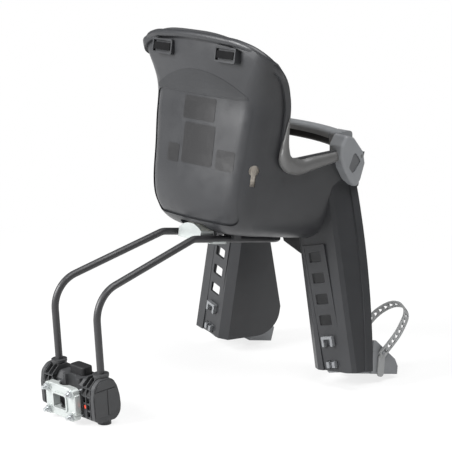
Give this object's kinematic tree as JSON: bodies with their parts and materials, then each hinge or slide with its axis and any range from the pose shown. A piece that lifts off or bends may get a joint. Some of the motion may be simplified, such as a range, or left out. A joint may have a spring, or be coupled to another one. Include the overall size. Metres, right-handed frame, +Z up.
{
  "type": "child bike seat",
  "caption": "Moulded child bike seat with hooded bucket, splayed leg guards, foot cups, safety bar, harness and a bent-rod carrier that latches into a frame clamp block.",
  "frame": {"origin": "middle of the bounding box on the floor that the foot cups and the block's feet stand on", "axes": "+Z up, +Y the way the child faces, +X to the child's right; X = 0 is the mirror plane"},
  "size_m": [0.4358, 0.6298, 0.605],
  "materials": {
    "shell_black": "satin moulded",
    "grey_plastic": "satin moulded",
    "bar_button_grey": "satin moulded",
    "strap_grey": "smooth",
    "rod_black": "satin black coat",
    "zinc": "bright zinc",
    "steel": "plated",
    "block_black": "fine grain",
    "button_black": "satin",
    "flag_red": "gloss",
    "liner_rubber": "matt",
    "pad_cream": "quilted cloth",
    "webbing_black": "woven"
  },
  "bodies": {
    "seat": {"seat_shell": "shell_black", "safety_bar": "grey_plastic", "safety_bar_underside": "button_black", "bar_bracket_left": "grey_plastic", "bar_bracket_right": "grey_plastic", "footrest_left": "grey_plastic", "footrest_right": "grey_plastic", "foot_strap_left": "strap_grey", "foot_strap_right": "strap_grey", "carrier_wire": "rod_black", "wire_clamp": "zinc", "wire_clamp_screws": "steel", "block_body": "block_black", "release_spring": "steel", "clamp_plate": "zinc", "clamp_bolts": "steel", "clamp_nuts": "steel", "clamp_liner": "liner_rubber", "seat_pad": "pad_cream", "shoulder_strap_left": "webbing_black", "shoulder_strap_right": "webbing_black", "crotch_strap": "webbing_black", "strap_anchor_left": "button_black", "strap_anchor_right": "button_black", "buckle_body": "button_black"},
    "release_button": {"release_button": "button_black"},
    "latch_left": {"latch_left": "steel", "lock_flag_left": "flag_red"},
    "latch_right": {"latch_right": "steel", "lock_flag_right": "flag_red"},
    "bar_button_left": {"bar_button_left": "bar_button_grey"},
    "bar_button_right": {"bar_button_right": "bar_button_grey"},
    "buckle_button": {"buckle_button": "flag_red"}
  },
  "joints": [
    {"name": "release_press", "type": "slide", "parent": "seat", "child": "release_button", "axis": [0, 0.0698, -0.9976], "range_m": [0, 0.006], "stiffness_N_per_m": 500, "springref_m": -0.003, "deforming": ["release_spring"]},
    {"name": "latch_right_draw", "type": "slide", "parent": "seat", "child": "latch_right", "axis": [-1, 0, 0], "range_m": [0, 0.0032]},
    {"name": "latch_left_draw", "type": "slide", "parent": "seat", "child": "latch_left", "axis": [1, 0, 0], "range_m": [0, 0.0032]},
    {"name": "bar_button_right_press", "type": "slide", "parent": "seat", "child": "bar_button_right", "axis": [-1, 0, 0], "range_m": [0, 0.0024], "stiffness_N_per_m": 600},
    {"name": "bar_button_left_press", "type": "slide", "parent": "seat", "child": "bar_button_left", "axis": [1, 0, 0], "range_m": [0, 0.0024], "stiffness_N_per_m": 600},
    {"name": "buckle_press", "type": "slide", "parent": "seat", "child": "buckle_button", "axis": [0, -0.1461, -0.9893], "range_m": [0, 0.003], "stiffness_N_per_m": 600, "springref_m": -0.002}
  ],
  "couplings": [
    {"joint": "latch_right_draw", "follows": "release_press", "ratio": 0.53333},
    {"joint": "latch_left_draw", "follows": "release_press", "ratio": 0.53333}
  ]
}
